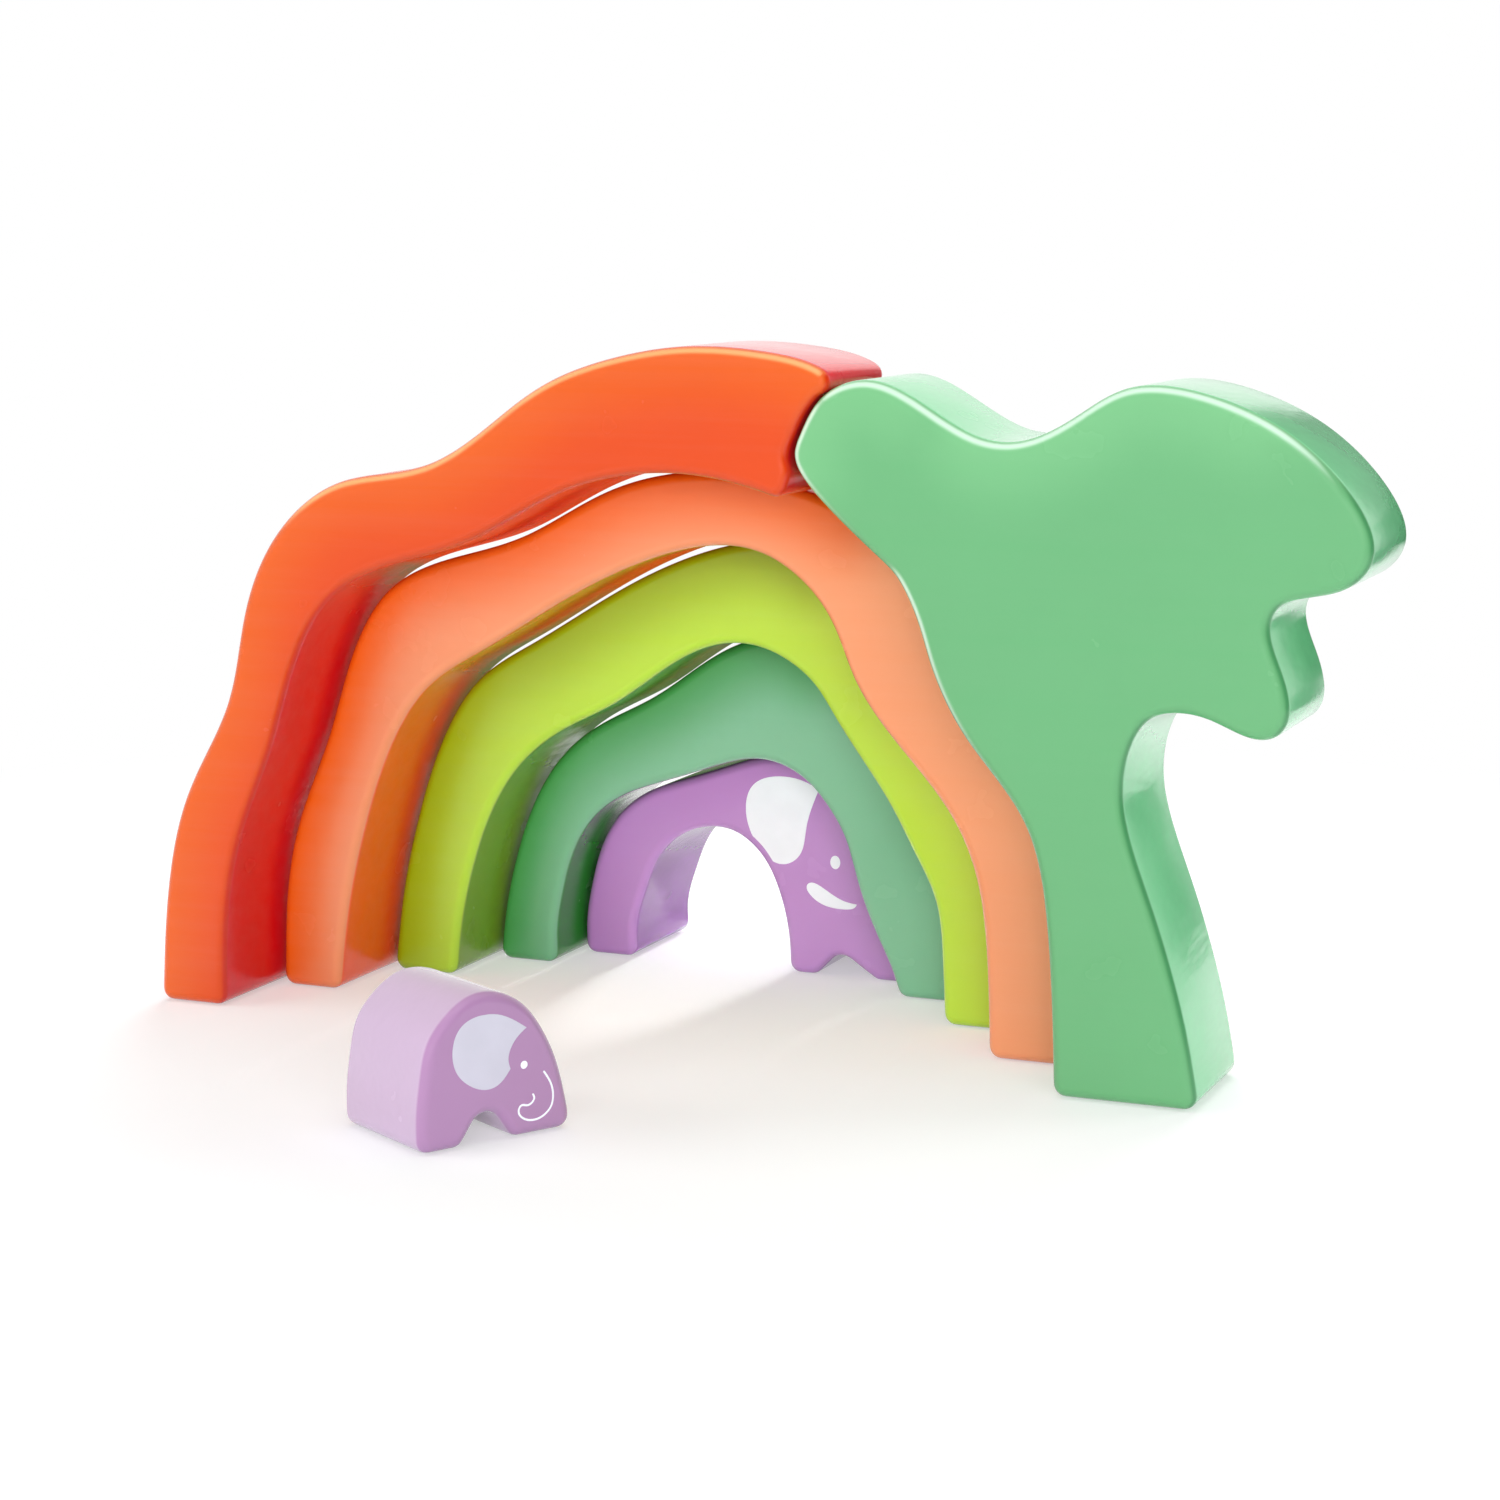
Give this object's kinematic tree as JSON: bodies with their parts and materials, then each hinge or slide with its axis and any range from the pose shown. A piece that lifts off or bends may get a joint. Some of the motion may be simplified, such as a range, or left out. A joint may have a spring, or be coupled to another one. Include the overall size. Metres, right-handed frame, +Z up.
{
  "type": "wooden stacking elephant",
  "caption": "Nest of painted wooden blocks: a tree and wavy arches standing one behind another around a mother elephant, with a baby elephant walking into the tunnel.",
  "frame": {"origin": "middle of the tree's foot, on the floor", "axes": "+X from the red arch's foot towards the tree, along the front faces; +Z up; -Y is the front, the side with the printed faces"},
  "size_m": [0.3248, 0.2392, 0.1783],
  "materials": {
    "tree_paint": "satin paint",
    "red_paint": "satin paint",
    "orange_paint": "satin paint",
    "lime_paint": "satin paint",
    "green_paint": "satin paint",
    "mother_paint": "satin paint",
    "baby_paint": "satin paint",
    "white_print": "matt printed paint",
    "grey_print": "matt printed paint"
  },
  "bodies": {
    "tree": {"tree": "tree_paint"},
    "red": {"red_arch": "red_paint"},
    "orange": {"orange_arch": "orange_paint"},
    "lime": {"lime_arch": "lime_paint"},
    "green": {"green_arch": "green_paint"},
    "mother": {"mother_elephant": "mother_paint", "mother_ear_print": "white_print", "mother_eye_print": "white_print", "mother_tusk_print": "white_print"},
    "baby": {"baby_elephant": "baby_paint", "baby_ear_print": "grey_print", "baby_eye_print": "white_print", "baby_trunk_print": "white_print"}
  },
  "joints": [
    {"name": "red_slide", "type": "slide", "parent": "tree", "child": "red", "axis": [0, 1, 0], "range_m": [-0.045, 0.045]},
    {"name": "orange_slide", "type": "slide", "parent": "tree", "child": "orange", "axis": [0, 1, 0], "range_m": [-0.028, 0.02]},
    {"name": "lime_slide", "type": "slide", "parent": "tree", "child": "lime", "axis": [0, 1, 0], "range_m": [-0.056, 0.034]},
    {"name": "green_slide", "type": "slide", "parent": "tree", "child": "green", "axis": [0, 1, 0], "range_m": [-0.08, 0.052]},
    {"name": "mother_slide", "type": "slide", "parent": "tree", "child": "mother", "axis": [0, 1, 0], "range_m": [-0.096, 0.078]},
    {"name": "baby_slide", "type": "slide", "parent": "tree", "child": "baby", "axis": [0.5, 0.866, 0], "range_m": [-0.04, 0.085]}
  ]
}
